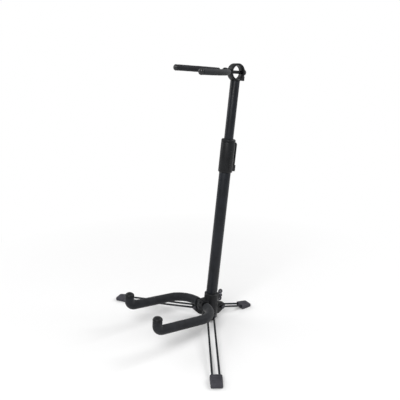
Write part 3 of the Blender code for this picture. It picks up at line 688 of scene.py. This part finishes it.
def make_ribs(finishes):
    """Rounded grip ribs up the clutch's trigger and the sides of its body."""
    tree, sockets = ribs_tree(finishes["moulded_nylon"])
    mast = Matrix.Translation(MAST_FOOT) @ Matrix.Rotation(-MAST_LEAN, 4, "X")
    for name, body, start, count, spacing, size in RIB_ROWS:
        size = Vector(size)
        carrier = linked_object(name, bpy.data.meshes.new(name))
        change = carrier.modifiers.new("ribs", "NODES")
        change.node_group = tree
        for socket, value in zip(sockets, (count, spacing, size)):
            change[socket] = value
        bm = bmesh.new()
        bm.from_mesh(plain_mesh(carrier))
        bpy.data.objects.remove(carrier)
        bmesh.ops.transform(bm, matrix=mast @ Matrix.Translation(start), verts=bm.verts)
        row = plain_object(name, bm, [rounded(min(size) * RIB_ROUNDING, RIB_ROUND_STEPS)])
        fit(row, body, "moulded_nylon", finishes)


def make_clamp_screws(finishes):
    """The cradle clamp's two screws, with hexagon sockets in their heads."""
    for label in ("lower", "upper"):
        node = f"cradle_clamp_screw_{label}"
        low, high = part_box(node)
        face = Matrix.Translation((0, low[1], (low[2] + high[2]) / 2))
        bm = bmesh.new()
        bmesh.ops.create_cone(
            bm, cap_ends=True, segments=6, radius1=HEXAGON_R, radius2=HEXAGON_R,
            depth=HEXAGON_DEPTH, matrix=face @ Matrix.Rotation(pi / 2, 4, "X"),
        )
        hexagon = plain_object(f"hexagon_{label}", bm)
        steps = [without(hexagon), rounded(SCREW_EDGE)]
        screw = plain_object(f"{node}_socket_head", merged(node), steps)
        bpy.data.objects.remove(hexagon)
        fit(screw, "base", "blackened_zinc", finishes, [node])


def make_rivets(finishes):
    """A rivet with two domed heads through each leg's eyes."""
    head = []
    for number in range(1, RIVET_HEAD_STEPS + 1):
        angle = pi / 2 * number / RIVET_HEAD_STEPS
        rise = RIVET_HALF_SHANK + RIVET_HEAD * cos(angle)
        head.append((RIVET_HEAD_R * sin(angle), rise))
    half = [(0, RIVET_HALF_SHANK + RIVET_HEAD), *head, (RIVET_R, RIVET_HALF_SHANK)]
    section = [(radius, -rise) for radius, rise in half] + half[::-1]
    for name, (turn, _, pivot_reach) in LEGS.items():
        pivot = leg_frame(turn) @ Matrix.Translation((0, -pivot_reach, PIVOT_RISE))
        across = pivot @ Matrix.Rotation(pi / 2, 4, "Y")
        rivet = turned(f"{name}_leg_rivet_domed", across, section, RIVET_SIDES)
        fit(rivet, "base", "blackened_zinc", finishes, [f"{name}_leg_rivet"])


def rays_that_show_it(tree, kinds):
    """1 on the rays of those kinds, and 0 on the rays that light the stand."""
    path = add_node(tree, "ShaderNodeLightPath")
    shown = path.outputs[kinds[0]]
    for kind in kinds[1:]:
        both = {0: shown, 1: path.outputs[kind]}
        shown = add_node(tree, "ShaderNodeMath", {"operation": "MAXIMUM"}, both).outputs["Value"]
    return shown


def make_floor():
    """A pale matt floor that keeps the stand's shadow, and is plain white further out."""
    side = FLOOR_HALF_SIDE
    corners = [(-side, -side, 0), (side, -side, 0), (side, side, 0), (-side, side, 0)]
    mesh = bpy.data.meshes.new("floor")
    mesh.from_pydata(corners, [], [(0, 1, 2, 3)])
    floor = linked_object("floor", mesh)
    paint, tree, shader = new_material("matt white board")
    shader.inputs["Base Color"].default_value = colour("eeeeee")
    shader.inputs["Roughness"].default_value = 0.9
    shader.inputs["Specular IOR Level"].default_value = 0.0

    place = add_node(tree, "ShaderNodeTexCoord").outputs["Object"]
    distance = add_node(tree, "ShaderNodeVectorMath", {"operation": "LENGTH"}, {0: place})
    fade = {"From Min": FLOOR_FADE[0], "From Max": FLOOR_FADE[1]}
    far = add_node(tree, "ShaderNodeMapRange", fade, {"Value": distance.outputs["Value"]})
    seen = rays_that_show_it(tree, ("Is Camera Ray", "Is Glossy Ray"))
    white = add_node(
        tree, "ShaderNodeMath", {"operation": "MULTIPLY"}, {0: seen, 1: far.outputs["Result"]},
    )
    glow = add_node(tree, "ShaderNodeEmission", {"Color": colour("ffffff"), "Strength": 1.0})
    blend = {"Fac": white.outputs["Value"], 1: shader.outputs["BSDF"], 2: glow.outputs["Emission"]}
    mix = add_node(tree, "ShaderNodeMixShader", (), blend)
    tree.links.new(mix.outputs["Shader"], tree.nodes["Material Output"].inputs["Surface"])
    mesh.materials.append(paint)


def make_lamps():
    for name, place, size, power in LAMPS:
        light = bpy.data.lights.new(name, "AREA")
        light.size = size
        light.energy = power
        lamp = linked_object(name, light)
        lamp.location = place
        lamp.rotation_euler = (LAMP_TARGET - Vector(place)).to_track_quat("-Z", "Y").to_euler()


def make_world():
    """A soft pale room that is seen as plain white."""
    world = bpy.data.worlds.new("studio")
    world.use_nodes = True
    tree = world.node_tree
    tree.nodes.clear()
    room = add_node(tree, "ShaderNodeBackground", {"Color": colour("f4f4f4"), "Strength": ROOM_LIGHT})
    white = add_node(tree, "ShaderNodeBackground", {"Color": colour("ffffff"), "Strength": 1.0})
    seen = rays_that_show_it(tree, ("Is Camera Ray", "Is Transmission Ray"))
    blend = {"Fac": seen, 1: room.outputs["Background"], 2: white.outputs["Background"]}
    mix = add_node(tree, "ShaderNodeMixShader", (), blend)
    add_node(tree, "ShaderNodeOutputWorld", (), {"Surface": mix.outputs["Shader"]})
    bpy.context.scene.world = world


def make_camera():
    forward = Vector((
        sin(CAMERA_YAW) * cos(CAMERA_PITCH), cos(CAMERA_YAW) * cos(CAMERA_PITCH), sin(CAMERA_PITCH),
    ))
    level = Vector((cos(CAMERA_YAW), -sin(CAMERA_YAW), 0))
    upright = level.cross(forward)
    right = cos(CAMERA_ROLL) * level + sin(CAMERA_ROLL) * upright
    up = cos(CAMERA_ROLL) * upright - sin(CAMERA_ROLL) * level
    view = bpy.data.cameras.new("photograph camera")
    view.sensor_width = SENSOR
    view.lens = SENSOR * FOCAL_PIXELS / FRAME_PIXELS
    camera = linked_object("photograph camera", view)
    turn = Matrix((right, up, -forward)).transposed().to_4x4()
    camera.matrix_world = Matrix.Translation(CAMERA_PLACE) @ turn
    bpy.context.scene.camera = camera


finishes = make_finishes()
make_floor()
make_lamps()
make_world()
make_camera()
bpy.context.scene.view_settings.view_transform = "Standard"

dress_rigid_nodes(finishes)
make_foam(finishes)
make_cradle_caps(finishes)
make_yoke_tips(finishes)
make_feet(finishes)
make_ribs(finishes)
make_clamp_screws(finishes)
make_rivets(finishes)
